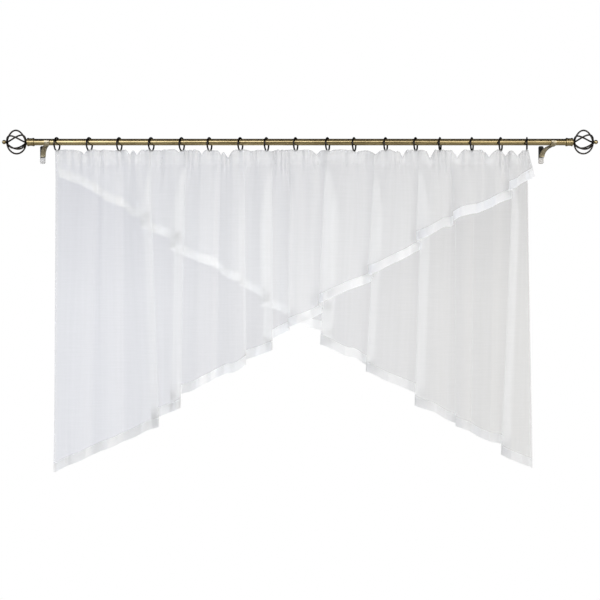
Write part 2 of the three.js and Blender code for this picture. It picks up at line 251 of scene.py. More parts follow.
def uneven(s, spacing):
    """Smooth random curve of s between -1 and 1, with a turn about every spacing."""
    count = int((s.max() - s.min()) / spacing * STEP_SPARE) + STEP_EXTRA
    steps = spacing * rng.uniform(*STEP_RANGE, count)
    knots = s.min() - spacing + np.cumsum(steps)
    values = rng.uniform(-1, 1, len(knots))
    at = np.clip(np.searchsorted(knots, s) - 1, 0, len(knots) - 2)
    part = (s - knots[at]) / (knots[at + 1] - knots[at])
    return lerp(values[at], values[at + 1], smooth(part))


def fold_knots():
    """Turning points of the folds from left to right: the line's x at the heading and at the hem, offset
    from the lobe's edge, y, sideways skew, how far the edge stands out in front, and slope there."""
    knots = [(LEFT_EDGE["heading"], LEFT_EDGE["hem"], 0, EDGE_SET_BACK, 0, 0, 0)]
    for heading, hem, depth, lap, roll in FOLDS:
        side = 1 if heading < CENTRE_TROUGH else -1
        edge = depth / 2 - ROLL_SLOPE * roll
        skew = side * (lap + FOLD_RUN) / (depth / 2 + edge)
        crown = (heading, hem, -side * roll, -depth / 2, skew, edge, 0)
        crest = (heading, hem, 0, -edge, skew, edge, 2 * side * ROLL_SLOPE)
        trough = (heading, hem, side * FOLD_RUN, depth / 2, skew, edge, 0)
        knots += [crown, crest, trough][::side]
    knots.append((RIGHT_EDGE["heading"], RIGHT_EDGE["hem"], 0, EDGE_SET_BACK, 0, 0, 0))
    return np.array(knots).T


KNOT_HEADING, KNOT_HEM, KNOT_OFFSET, KNOT_Y, KNOT_SKEW, KNOT_EDGE, KNOT_SLOPE = fold_knots()


def column_plan():
    """Span between two knots and place inside it, for each column of the cloth."""
    counts = []
    for heading, *_ in FOLDS:
        turns = [ROLL_STEPS, RUN_STEPS] if heading < CENTRE_TROUGH else [RUN_STEPS, ROLL_STEPS]
        counts += [FACE_STEPS, *turns]
    counts.append(FACE_STEPS)
    spans = np.repeat(np.arange(len(counts)), counts)
    parts = np.concatenate([np.arange(steps) / steps for steps in counts])
    return np.append(spans, len(counts) - 1), np.append(parts, 1.0)


SPANS, PARTS = column_plan()
COLUMNS = np.arange(len(SPANS))


def grown(z, start, end):
    """Value that goes from start at the tape to end a little way below it."""
    share = np.clip((TAPE_BOTTOM - z) / FULL_DEPTH_DROP, 0, 1)
    return lerp(start, end, 1 - (1 - share) ** GROWTH_POWER)


def cloth_points(spans, parts, z, layer, tip=0.0):
    """Points of the folded cloth at heights z. layer counts layer gaps in front of the back panel, and tip
    moves a point to the right."""
    drop = np.clip((TAPE_BOTTOM - z) / (TAPE_BOTTOM - LONG_DROP), 0, 1)
    share = grown(z, HEADING_SHARE, 1)
    gap = grown(z, HEADING_GAP, FULL_GAP)
    ends = []
    for knot in (spans, spans + 1):
        line = lerp(KNOT_HEADING[knot], KNOT_HEM[knot], drop) + KNOT_OFFSET[knot]
        ends.append(line - KNOT_SKEW[knot] * (share * KNOT_EDGE[knot] + gap / 2))
    across = lerp(*ends, parts) + tip
    length = np.abs(KNOT_OFFSET[spans + 1] - KNOT_OFFSET[spans])
    rest = 1 - parts
    bend = length * parts * rest * (KNOT_SLOPE[spans] * rest - KNOT_SLOPE[spans + 1] * parts)
    wave = lerp(KNOT_Y[spans], KNOT_Y[spans + 1], smooth(parts)) + bend
    y = wave * share - layer * gap
    skew = lerp(KNOT_SKEW[spans], KNOT_SKEW[spans + 1], parts)
    return np.stack([across - skew * y, y + 0 * z, z + 0 * across], axis=-1)


def flat_places():
    """Place of each column along the flat cloth, measured along the full folds."""
    line = cloth_points(SPANS, PARTS, np.full(len(SPANS), LONG_DROP), 0)
    steps = np.linalg.norm(np.diff(line, axis=0), axis=1)
    return np.concatenate([[0], np.cumsum(steps)])


FLAT = flat_places()
SHARES = FLAT / FLAT[-1]


def flat_wave(wave):
    """Random wave over the columns of the cloth."""
    return wave["height"] * uneven(FLAT, wave["spacing"])


GATHER_WAVES = [(uneven(FLAT, spacing), height, run) for spacing, height, run in GATHERS]
CRINKLE_WAVE = flat_wave(CRINKLE)
HEM_WAVES = [flat_wave(HEM_WAVE) for _ in range(2)]
FRILL_EDGE_WAVE = flat_wave(FRILL_EDGE)
TAPE_EDGE_WAVE = flat_wave(TAPE_EDGE)


def gather_relief(z, order):
    """Fine pleats under the tape and the crinkle of the frill above it."""
    below = np.maximum(TAPE_BOTTOM - z, 0)
    above = np.clip((z - TAPE_BOTTOM) / (FRILL_TOP - TAPE_BOTTOM), 0, 1)
    relief = sum(wave[order] * height * np.exp(-below / run) for wave, height, run in GATHER_WAVES)
    return relief + CRINKLE_WAVE[order] * above


def crease_relief(x, z):
    """How far back the soft creases set the cloth."""
    relief = np.zeros(np.broadcast(x, z).shape)
    for x_top, x_low, z_top, z_low, half, height in CREASES:
        part = (z_top - z) / (z_top - z_low)
        shown = smooth(part / CREASE_FADE + 0.5) * smooth((1 - part) / CREASE_FADE + 0.5)
        relief -= height * shown * np.exp(-(((x - lerp(x_top, x_low, part)) / half) ** 2))
    return relief


def averaged(values, reach):
    """Values smoothed by a round window that reaches that many steps to each side."""
    weights = np.hanning(2 * reach + 3)
    return np.convolve(np.pad(values, reach + 1, mode="edge"), weights / weights.sum(), mode="valid")


def facet_curve(facets, stand):
    """Places along the hem and how far back the cloth stands there, from the way that each facet turns."""
    x = np.arange(LEFT_EDGE["hem"] - FACET_MARGIN, RIGHT_EDGE["hem"] + FACET_MARGIN, FACET_STEP)
    ends, turns = np.array(facets).T
    turns = turns[np.minimum(np.searchsorted(ends, x), len(turns) - 1)]
    y = np.cumsum(averaged(turns, int(FACET_BLEND / FACET_STEP))) * FACET_STEP * FACET_TILT
    return x, y - averaged(y, int(FACET_SPREAD / FACET_STEP)) + stand


def facet_relief(x, above_hem, curve):
    """Facets of the hem, which die away above it."""
    return np.interp(x, *curve) * np.exp(-np.maximum(above_hem, 0) / FACET_RISE)


def frill_top():
    """Height of the frill's top edge at each column."""
    x = cloth_points(SPANS, PARTS, np.full(len(SPANS), FRILL_TOP), 0)[:, 0]
    z = FRILL_TOP + FRILL_EDGE_WAVE
    for at, depth, half in NOTCHES:
        z = z - depth * np.clip(1 - np.abs(x - at) / half, 0, 1) ** NOTCH_POWER
    return z


TOP = frill_top()


def grid_faces(rows, columns, closed=False):
    """Quads of a grid of points; a closed one joins its last column to its first."""
    ends = columns if closed else columns - 1
    r, c = np.meshgrid(np.arange(rows - 1), np.arange(ends), indexing="ij")
    after = (c + 1) % columns
    here, below = r * columns, (r + 1) * columns
    return np.stack([here + c, here + after, below + after, below + c], -1).reshape(-1, 4).tolist()


class Shape:
    """Points, faces and flat places of a mesh that is put together from parts."""

    def __init__(self):
        self.points, self.faces, self.flat, self.count = [], [], [], 0

    def add(self, points, faces, flat=None):
        points = np.asarray(points, float).reshape(-1, 3)
        self.points.append(points)
        self.faces += [[corner + self.count for corner in face] for face in faces]
        self.flat.append(np.zeros((len(points), 2)) if flat is None else np.asarray(flat).reshape(-1, 2))
        self.count += len(points)
        return self


def piece(name, shape, material, nodes):
    """Object from a shape, placed on the rod's middle, riding on the one body in place of its nodes."""
    mesh = bpy.data.meshes.new(name)
    mesh.from_pydata((np.concatenate(shape.points) + ROD_MIDDLE).tolist(), [], shape.faces)
    loops = np.zeros(len(mesh.loops), int)
    mesh.loops.foreach_get("vertex_index", loops)
    mesh.uv_layers.new(name="flat").data.foreach_set("uv", np.concatenate(shape.flat)[loops].ravel())
    mesh.shade_smooth()
    mesh.materials.append(material)
    made = bpy.data.objects.new(name, mesh)
    bpy.context.scene.collection.objects.link(made)
    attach(made, "root")
    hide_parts(*nodes)
    return made


# Materials

# Noise cells in a metre of flat cloth, across and along it
VOILE_STREAKS = (70, 2.5, 1)
VOILE_SLUBS = (12, 260, 1)
SATIN_LINES = (30, 1400, 1)
TAPE_SLUBS = (400, 900, 1)

# Distance between threads, and between the bands of a wave texture at scale 1
VOILE_PITCH = 0.0006
TAPE_PITCH = 0.0009
BAND_PITCH = math.pi / 10

# Noise cells in a metre of space, in x, y and z
STAINS = (14, 14, 14)
FLOOR_SPECKLE = (9, 9, 9)
ROD_GRAIN = (4, 60, 60)
STRAP_GRAIN = (60, 60, 8)
EVEN_GRAIN = (60, 60, 60)
GRAIN_SCALE = 12.0
GRAIN_ROUGHNESS = 0.12

# Where the noise on metals is darkest and lightest, and the plates' lower end below the arm's foot: painted
# light that fades into painted shade above it, with its stains
STAINED = 0.34
CLEAN = 0.62
PAINTED_LIGHT_FADE = 0.004
PAINTED_LIGHT_STAIN = 0.6


def fill_ramp(ramp, stops):
    """Gives a colour ramp its stops of place and colour, which go up in place."""
    elements = ramp.elements
    elements[0].position, elements[1].position = stops[0][0], stops[-1][0]
    for place, _ in stops[1:-1]:
        elements.new(place)
    for element, (_, colour) in zip(elements, stops):
        element.color = (*colour, 1)


class Finish:
    """Material with one Principled shader, and short ways to add the nodes that drive it."""

    def __init__(self, name, **values):
        self.material = bpy.data.materials.new(name)
        self.material.use_nodes = True
        self.tree = self.material.node_tree
        self.shader = self.tree.nodes["Principled BSDF"]
        for key, value in values.items():
            self.shader.inputs[key.replace("_", " ")].default_value = value

    def node(self, kind, settings=None, **inputs):
        made = self.tree.nodes.new(kind)
        for key, value in (settings or {}).items():
            setattr(made, key, value)
        for key, value in inputs.items():
            self.feed(made.inputs[key.replace("_", " ")], value)
        return made

    def feed(self, socket, value):
        """Links a socket to another one, or sets its number or colour."""
        if isinstance(value, bpy.types.NodeSocket):
            self.tree.links.new(value, socket)
        else:
            socket.default_value = value

    def drive(self, **inputs):
        """Feeds inputs of the Principled shader."""
        for key, value in inputs.items():
            self.feed(self.shader.inputs[key.replace("_", " ")], value)

    def flat_place(self, scale):
        source = self.node("ShaderNodeUVMap", {"uv_map": "flat"}).outputs["UV"]
        return self.node("ShaderNodeMapping", Vector=source, Scale=scale).outputs["Vector"]

    def space_place(self, scale):
        source = self.node("ShaderNodeTexCoord").outputs["Object"]
        return self.node("ShaderNodeMapping", Vector=source, Scale=scale).outputs["Vector"]

    def part_of(self, place, axis):
        return self.node("ShaderNodeSeparateXYZ", Vector=place).outputs[axis]

    def noise(self, place, scale=1.0, detail=3.0):
        return self.node("ShaderNodeTexNoise", Vector=place, Scale=scale, Detail=detail).outputs["Fac"]

    def ramp(self, factor, *stops):
        made = self.node("ShaderNodeValToRGB", Fac=factor)
        fill_ramp(made.color_ramp, stops)
        return made.outputs["Color"]

    def maths(self, operation, *values):
        made = self.node("ShaderNodeMath", {"operation": operation})
        for socket, value in zip(made.inputs, values):
            self.feed(socket, value)
        return made.outputs[0]

    def scaled(self, value, by, plus):
        return self.maths("MULTIPLY_ADD", value, by, plus)

    def blended(self, a, b, share):
        """A share of a and the rest of b."""
        return self.scaled(a, by=share, plus=self.maths("MULTIPLY", b, 1 - share))

    def mixed(self, factor, a, b, blend_type="MIX"):
        """Mix of two colours."""
        made = self.node("ShaderNodeMix", {"data_type": "RGBA", "blend_type": blend_type}, Factor=factor)
        colours = [socket for socket in made.inputs if socket.type == "RGBA"]
        for socket, value in zip(colours, (a, b)):
            self.feed(socket, value)
        return next(socket for socket in made.outputs if socket.type == "RGBA")

    def bump(self, height, strength, distance):
        made = self.node("ShaderNodeBump", Height=height, Strength=strength, Distance=distance)
        self.drive(Normal=made.outputs["Normal"])


def grey(value, tint=(1, 1, 1)):
    return tuple(value * t for t in tint)


def woven(finish, pitch, depth):
    """Bump of crossing threads, from the place on the flat cloth."""
    place = finish.flat_place((1, 1, 1))
    waves = [
        finish.node(
            "ShaderNodeTexWave", {"bands_direction": way, "wave_profile": "SIN"},
            Vector=place, Scale=BAND_PITCH / pitch, Distortion=0.6, Detail=1.0, Detail_Scale=2.0,
        ).outputs["Fac"]
        for way in ("X", "Y")
    ]
    finish.bump(finish.maths("MAXIMUM", *waves), strength=0.3, distance=depth)


def sheer(finish, colour, opacity, scattered):
    """Cloth that is part gap between threads and part thread, which reflects light or scatters it through."""
    through = finish.node("ShaderNodeBsdfTranslucent", Color=colour)
    thread = finish.node("ShaderNodeMixShader", Fac=scattered)
    finish.feed(thread.inputs[1], finish.shader.outputs["BSDF"])
    finish.feed(thread.inputs[2], through.outputs["BSDF"])
    cloth = finish.node("ShaderNodeMixShader", Fac=opacity)
    finish.feed(cloth.inputs[1], finish.node("ShaderNodeBsdfTransparent").outputs["BSDF"])
    finish.feed(cloth.inputs[2], thread.outputs["Shader"])
    finish.feed(finish.tree.nodes["Material Output"].inputs["Surface"], cloth.outputs["Shader"])
    return finish.material


def voile():
    """Sheer plain weave whose threads are uneven along and across."""
    finish = Finish("voile", Roughness=0.9, Specular_IOR_Level=0.15)
    streaks = finish.noise(finish.flat_place(VOILE_STREAKS))
    slubs = finish.noise(finish.flat_place(VOILE_SLUBS))
    threads = finish.blended(streaks, slubs, share=0.6)
    colour = finish.ramp(threads, (0.3, grey(0.93)), (0.7, grey(0.955)))
    finish.drive(Base_Color=colour)
    woven(finish, VOILE_PITCH, depth=0.0001)
    opacity = finish.scaled(threads, by=0.04, plus=0.26)
    return sheer(finish, colour, opacity, scattered=0.22)


def satin():
    """Satin with fine lines along the ribbon, a pale lower edge and a dull line above it."""
    finish = Finish("satin_ribbon", Roughness=0.3, Anisotropic=0.4, Specular_IOR_Level=1.0)
    lines = finish.noise(finish.flat_place(SATIN_LINES))
    height = finish.part_of(finish.flat_place((1, 1 / RIBBON_HEIGHT, 1)), "Y")
    pale, mid, dull = grey(0.925), grey(0.86), grey(0.815)
    edges = finish.ramp(height, (0.0, pale), (0.07, pale), (0.10, dull), (0.13, mid))
    shades = finish.ramp(lines, (0.3, grey(0.0)), (0.7, grey(1.0)))
    colour = finish.mixed(0.08, edges, shades, "MULTIPLY")
    finish.drive(Base_Color=colour, Roughness=finish.scaled(lines, by=0.2, plus=0.22))
    finish.bump(lines, strength=0.3, distance=0.0002)
    return sheer(finish, colour, opacity=0.97, scattered=0.58)


def tape_cloth():
    """Thin tape with a coarser weave."""
    finish = Finish("heading_tape", Roughness=0.8, Sheen_Weight=0.2)
    slubs = finish.noise(finish.flat_place(TAPE_SLUBS))
    colour = finish.ramp(slubs, (0.3, grey(0.88)), (0.7, grey(0.95)))
    finish.drive(Base_Color=colour)
    woven(finish, TAPE_PITCH, depth=0.0003)
    return sheer(finish, colour, opacity=0.2, scattered=0.45)


def aged_metal(name, dark, light, roughness, grain=EVEN_GRAIN, metallic=1.0, painted_light_below=None):
    """Metal with brushed lines and darker stains. The last argument, if given, is a colour of painted light
    for all that lies below the arm's foot; the plate's dark colours above it are painted shade.
    """
    finish = Finish(name, Metallic=metallic, Roughness=roughness)
    stains = finish.noise(finish.space_place(STAINS), detail=4.0)
    brushed = finish.noise(finish.space_place(grain), GRAIN_SCALE, detail=2.0)
    age = finish.blended(brushed, stains, share=0.35)
    colour = finish.ramp(age, (STAINED, dark), (CLEAN, light))
    # Painted light below the arm's foot, fading into the painted shade of the dark colours above it
    if painted_light_below:
        foot = ROD_MIDDLE[2] + ARM["foot"]
        height = finish.part_of(finish.space_place((1, 1, 1)), "Z")
        above = finish.node("ShaderNodeMapRange", Value=height, From_Min=foot - PAINTED_LIGHT_FADE, From_Max=foot)
        painted_lit_end = finish.ramp(age, (STAINED, grey(PAINTED_LIGHT_STAIN, painted_light_below)), (CLEAN, painted_light_below))
        colour = finish.mixed(above.outputs[0], painted_lit_end, colour)
    uneven_gloss = finish.scaled(brushed, by=GRAIN_ROUGHNESS, plus=roughness - GRAIN_ROUGHNESS / 2)
    finish.drive(Base_Color=colour, Roughness=uneven_gloss)
    finish.bump(brushed, strength=0.04, distance=0.0002)
    return finish.material


VOILE = voile()
SATIN = satin()
TAPE = tape_cloth()

# Metals: name, dark colour, light colour, roughness, grain, share of metal, colour of painted light below the
# arm's foot
BRASS = aged_metal("antique_brass", (0.18, 0.135, 0.06), (0.30, 0.235, 0.115), 0.2, ROD_GRAIN)
WIRE = aged_metal("dark_wire", (0.012, 0.010, 0.008), (0.05, 0.043, 0.035), 0.34)
RING_METAL = aged_metal("ring_metal", (0.006, 0.005, 0.005), (0.022, 0.019, 0.017), 0.3)
ARM_METAL = aged_metal("bracket_metal", (0.17, 0.14, 0.08), (0.33, 0.28, 0.18), 0.28, STRAP_GRAIN, 0.85)
# The plate's near-black colours are painted shade under the arm, and its pale colour below the arm's foot is
# painted light
PLATE_METAL = aged_metal(
    "plate_metal", (0.010, 0.010, 0.008), (0.03, 0.028, 0.022), 0.4, STRAP_GRAIN, 0.4, (0.38, 0.36, 0.32),
)

# Cloth pieces


def hemmed_columns():
    """Columns of a panel with a narrow hem turned back at each side: span, place in the span, how far it is
    set back, and the column of the cloth that it follows."""
    first = KNOT_HEADING[1] - KNOT_HEADING[0]
    last = KNOT_HEADING[-1] - KNOT_HEADING[-2]
    left = np.linspace(SIDE_HEM / first, 0, HEM_STEPS)
    right = 1 - np.linspace(0, SIDE_HEM / last, HEM_STEPS)
    sides = (HEM_STEPS, HEM_STEPS)
    parts = np.concatenate([left, PARTS, right])
    back = np.pad(np.zeros(len(SPANS)), sides, constant_values=TURNED_GAP)
    return np.pad(SPANS, sides, mode="edge"), parts, back, np.pad(COLUMNS, sides, mode="edge")


def panel(name, layer, hem_at, tip_at, facets, stand):
    """Voile panel and its ribbon. hem_at gives the hem's height and tip_at the flare from the flat share."""
    curve = facet_curve(facets, stand)

    def hung(spans, parts, z, order):
        shares = SHARES[order]
        below = np.clip((FRILL_TOP - z) / (FRILL_TOP - SHORT_DROP), 0, 1)
        points = cloth_points(spans, parts, z, layer, tip_at(shares) * below)
        x = points[..., 0]
        points[..., 1] += gather_relief(z, order) + crease_relief(x, z)
        points[..., 1] += facet_relief(x, z - hem_at(shares), curve)
        return points

    spans, parts, back, order = hemmed_columns()
    top = TOP[order]
    hem = hem_at(SHARES[order]) + RIBBON_HEIGHT - RIBBON_LAP
    turned = top - np.linspace(TURNED_DEPTH, 0, TURNED_ROWS)[:, None]
    frill = lerp(top, TAPE_BOTTOM, np.linspace(0, 1, FRILL_ROWS)[:, None])
    drop = lerp(TAPE_BOTTOM, hem, np.linspace(0, 1, DROP_ROWS + 1)[1:, None] ** DROP_POWER)
    z = np.concatenate([turned, frill, drop])
    points = hung(spans, parts, z, order)
    points[..., 1] += back - FRILL_LEAN * layer * smooth((z - TAPE_BOTTOM) / (FRILL_TOP - TAPE_BOTTOM))
    points[:TURNED_ROWS, :, 1] += TURNED_GAP
    shape = Shape().add(points, grid_faces(*z.shape), np.stack([FLAT[order] + 0 * z, z], -1))
    cloth = piece(f"{name}_voile_panel", shape, VOILE, [f"{name}_panel"])

    hem = hem_at(SHARES)
    z = lerp(hem + RIBBON_HEIGHT, hem, np.linspace(0, 1, RIBBON_ROWS)[:, None])
    points = hung(SPANS, PARTS, z, COLUMNS)
    points[..., 1] -= RIBBON_GAP
    shape = Shape().add(points, grid_faces(*z.shape), np.stack([FLAT + 0 * z, z - hem], -1))
    band = piece(f"{name}_satin_ribbon", shape, SATIN, [f"{name}_ribbon"])


def heading_tape():
    """Tape behind both panels, below the notches of the frill."""
    top = np.minimum(TAPE_TOP, TOP - TAPE_INSET)
    z = lerp(top, TAPE_BOTTOM + TAPE_EDGE_WAVE, np.linspace(0, 1, TAPE_ROWS)[:, None])
    points = cloth_points(SPANS, PARTS, z, -1)
    points[..., 1] += gather_relief(z, COLUMNS)
    shape = Shape().add(points, grid_faces(*z.shape), np.stack([FLAT + 0 * z, z], -1))
    made = piece("gathering_tape", shape, TAPE, ["heading_tape"])


def slanted(left, right, bow, wave):
    """Height of a hem at a share of the flat width, from the left drop to the right one. bow is how far it
    rises in the middle."""

    def hem_at(share):
        inside = share * (1 - share)
        waved = np.interp(share, SHARES, wave) * np.minimum(1, HEM_WAVE_FADE * inside)
        return lerp(left, right, share) + 4 * bow * inside + waved

    return hem_at


panel(
    "front", 1, slanted(LONG_DROP, SHORT_DROP, FRONT_HEM_BOW, HEM_WAVES[0]),
    lambda share: FRONT_TIP_FLARE * smooth((share - 1 + TIP_WIDTH) / TIP_WIDTH), FRONT_FACETS, -FACET_STAND,
)
panel(
    "back", 0, slanted(SHORT_DROP, BACK_LONG_DROP, BACK_HEM_BOW, HEM_WAVES[1]),
    lambda share: BACK_TIP_FLARE * (1 - smooth(share / TIP_WIDTH)), BACK_FACETS, FACET_STAND,
)
heading_tape()

# Rod, rings, finials and brackets

ROD_EDGE = 0.0012
ROD_SIDES = 72
RING_STEPS = 64
WIRE_SIDES = 12

# Caps of a tube, and a direction that no tube starts in, from which its first side is taken
CAP_STEPS = 4
CAP_TIP = 0.02
SIDE_HINT = (0.3, 0.5, 0.8)

# Rims of a collar: height, slope, width of the inner one, where the outer one starts and ends before the tip,
# then the bevel's length and drop, the drop of the tip's face and the rounding of all edges
RIM = {"height": 0.0012, "slope": 0.0005, "inner": 0.004, "outer_start": 0.0065, "outer_end": 0.003}
BEVEL = {"length": 0.001, "drop": 0.0024, "face": 0.003, "edge": 0.0007}
COLLAR_SIDES = 48
HUB_EDGE = 0.0015
HUB_SIDES = 32
RIB_STEPS = 40
BALL_FLANGE = {"height": 0.0012, "length": 0.0006}
BALL_STEPS = 22
BALL_SIDES = 40

PLATE_EDGE = 0.0006
ARM_EDGE = 0.0007
ARM_CORNER_STEPS = 3
HOOK_STEPS = 20
ARM_STEPS = 28


def lathe(profile, sides):
    """Points and quads of a profile of (along, radius) turned about the rod's axis."""
    along, radius = np.asarray(profile, float).T
    angles = np.linspace(0, 2 * math.pi, sides, endpoint=False)
    x = np.repeat(along, sides)
    y = np.outer(radius, np.cos(angles)).ravel()
    z = np.outer(radius, np.sin(angles)).ravel()
    return np.stack([x, y, z], -1), grid_faces(len(along), sides, closed=True)


def rounded(profile, radius, steps=4):
    """Profile with its inner corners rounded by short arcs."""
    points = [np.asarray(point, float) for point in profile]
    made = [points[0]]
    for before, here, after in zip(points, points[1:], points[2:]):
        reach = min(radius, np.linalg.norm(before - here) / 2, np.linalg.norm(after - here) / 2)
        start = here + unit(before - here) * reach
        end = here + unit(after - here) * reach
        for t in np.linspace(0, 1, steps):
            made.append(lerp(lerp(start, here, t), lerp(here, end, t), t))
    return np.array(made + [points[-1]])


def capped(path, radii):
    """Path and radii of an open tube with a round cap added at each end."""
    quarter = np.linspace(0, math.pi / 2, CAP_STEPS)[:-1]
    small, reach = np.maximum(np.sin(quarter), CAP_TIP), np.cos(quarter)
    head = path[0] + np.outer(reach, unit(path[0] - path[1])) * radii[0]
    tail = path[-1] + np.outer(reach[::-1], unit(path[-1] - path[-2])) * radii[-1]
    radii = np.concatenate([small * radii[0], radii, small[::-1] * radii[-1]])
    return np.concatenate([head, path, tail]), radii


def tube(path, radius, sides, closed=False):
    """Points and quads of a round tube along a path, with round caps when it is open."""
    path = np.asarray(path, float)
    radii = np.full(len(path), radius)
    if not closed:
        path, radii = capped(path, radii)
    ahead = np.roll(path, -1, 0) - np.roll(path, 1, 0)
    if not closed:
        ahead[0], ahead[-1] = path[1] - path[0], path[-1] - path[-2]
    ahead /= np.linalg.norm(ahead, axis=1)[:, None]
    side = np.cross(ahead[0], SIDE_HINT)
    sideways = []
    for direction in ahead:
        side = unit(side - direction * side.dot(direction))
        sideways.append(side)
    across = np.array(sideways)
    up = np.cross(ahead, across)
    angles = np.linspace(0, 2 * math.pi, sides, endpoint=False)
    ring = across[:, None] * np.cos(angles)[:, None] + up[:, None] * np.sin(angles)[:, None]
    points = path[:, None] + ring * radii[:, None, None]
    faces = grid_faces(len(path), sides, closed=True)
    if closed:
        last = (len(path) - 1) * sides
        for here in range(sides):
            after = (here + 1) % sides
            faces.append([last + here, last + after, after, here])
    return points.reshape(-1, 3), faces


def pole():
    outline = [(-ROD_HALF, 0), (-ROD_HALF, ROD_RADIUS), (ROD_HALF, ROD_RADIUS), (ROD_HALF, 0)]
    shape = Shape().add(*lathe(rounded(outline, ROD_EDGE), ROD_SIDES))
    piece("rod_tube", shape, BRASS, ["rod"])


def hanging_rings():
    angles = np.linspace(0, 2 * math.pi, RING_STEPS, endpoint=False)
    reach = RING_RADIUS * np.cos(angles)
    z = RING_CENTRE + RING_RADIUS * np.sin(angles)
    for number, (x, yaw) in enumerate(RINGS, 1):
        turn = -math.radians(yaw)
        path = np.stack([x - math.sin(turn) * reach, math.cos(turn) * reach, z], -1)
        shape = Shape().add(*tube(path, RING_WIRE, WIRE_SIDES, closed=True))
        piece(f"wire_ring_{number:02d}", shape, RING_METAL, [f"ring_{number:02d}"])


def facing(side, points, faces):
    """Points and faces of a right-hand finial, turned about to the left end where side is -1."""
    points = np.array(points)
    points[:, :2] *= side
    return points, faces


def finial_cup(name, side):
    r, inner, outer = COLLAR["radius"], COLLAR["inner"], COLLAR["outer"]
    bottom, bore, rim = ROD_HALF + FIT_GAP, ROD_RADIUS + FIT_GAP, r + RIM["height"]
    inner_rim, outer_rim, nose = inner + RIM["inner"], outer - RIM["outer_start"], outer - RIM["outer_end"]
    outline = [
        (bottom, 0), (bottom, bore), (inner, bore), (inner, rim), (inner_rim, rim),
        (inner_rim + RIM["slope"], r), (outer_rim - RIM["slope"], r), (outer_rim, rim), (nose, rim),
        (outer - BEVEL["length"], r - BEVEL["drop"]), (outer, r - BEVEL["face"]), (outer, 0),
    ]
    shape = Shape().add(*facing(side, *lathe(rounded(outline, BEVEL["edge"]), COLLAR_SIDES)))
    piece(f"{name}_finial_cup", shape, BRASS, [f"{name}_finial_collar"])


def finial_wires(name, side):
    """Cage of twisted wires between two hubs."""
    shape = Shape()
    start, end, hub = COLLAR["outer"] + FIT_GAP, CAGE["outer"], CAGE["hub"]
    for low, high in ((start, start + CAGE["hub_length"]), (end - CAGE["hub_length"], end)):
        outline = rounded([(low, 0), (low, hub), (high, hub), (high, 0)], HUB_EDGE)
        shape.add(*facing(side, *lathe(outline, HUB_SIDES)))
    sweep = np.linspace(-CAGE_SWEEP, CAGE_SWEEP, RIB_STEPS)
    along = (start + end) / 2 + ((end - start) / 2 - CAGE["wire"]) * np.sin(sweep)
    radius = CAGE["radius"] * np.cos(sweep)
    twist = CAGE_PHASE[name] + CAGE_TWIST[name] * sweep / (2 * CAGE_SWEEP)
    for rib in range(CAGE["ribs"]):
        turn = twist + 2 * math.pi * rib / CAGE["ribs"]
        path = np.stack([along, -radius * np.sin(turn), radius * np.cos(turn)], -1)
        shape.add(*facing(side, *tube(path, CAGE["wire"], WIRE_SIDES)))
    piece(f"{name}_finial_wires", shape, WIRE, [f"{name}_finial_cage"])


def finial_knob(name, side):
    """Ball on a short flange at the tip."""
    seat = CAGE["outer"] + FIT_GAP
    radius, flange = BALL["radius"], BALL["neck"] + BALL_FLANGE["height"]
    polar = np.linspace(math.pi - math.asin(BALL["neck"] / radius), 0, BALL_STEPS)
    outline = [(seat, 0), (seat, flange), (seat + BALL_FLANGE["length"], flange)]
    outline += [(BALL["centre"] + radius * math.cos(a), radius * math.sin(a)) for a in polar]
    shape = Shape().add(*facing(side, *lathe(outline, BALL_SIDES)))
    piece(f"{name}_finial_knob", shape, BRASS, [f"{name}_finial_ball"])


def rounded_box(width, height, corner, steps=6):
    """Outline of a rectangle with round corners, about its middle."""
    w, h = width / 2 - corner, height / 2 - corner
    outline = []
    for index, (x, z) in enumerate(((w, h), (-w, h), (-w, -h), (w, -h))):
        for angle in np.linspace(0, math.pi / 2, steps) + index * math.pi / 2:
            outline.append((x + corner * math.cos(angle), z + corner * math.sin(angle)))
    return np.array(outline)


def stack(outlines):
    """Closed solid through like outlines, with flat ends."""
    rows, count = len(outlines), len(outlines[0])
    first = list(range(count))
    last = [(rows - 1) * count + index for index in first]
    return np.concatenate(outlines), grid_faces(rows, count, closed=True) + [first[::-1], last]


def wall_strap(name):
    """Plate on the wall, with a bevelled front edge."""
    x = SADDLE[name] - ARM["lean"]
    thickness = PLATE["thickness"]
    outlines = []
    for depth, inset in ((0, 0), (thickness - PLATE_EDGE, 0), (thickness, PLATE_EDGE)):
        width, height = PLATE["width"] - 2 * inset, PLATE["height"] - 2 * inset
        across, up = rounded_box(width, height, PLATE["corner"] - inset).T
        y = np.full(len(up), WALL_DISTANCE - depth)
        outlines.append(np.stack([x + across, y, PLATE["centre"] + up], -1))
    shape = Shape().add(*stack(outlines))
    made = piece(f"{name}_wall_strap", shape, PLATE_METAL, [f"{name}_wall_plate"])
    made.data.shade_flat()


def bezier(a, b, c, d, t):
    return (1 - t) ** 3 * a + 3 * (1 - t) ** 2 * t * b + 3 * (1 - t) * t ** 2 * c + t ** 3 * d


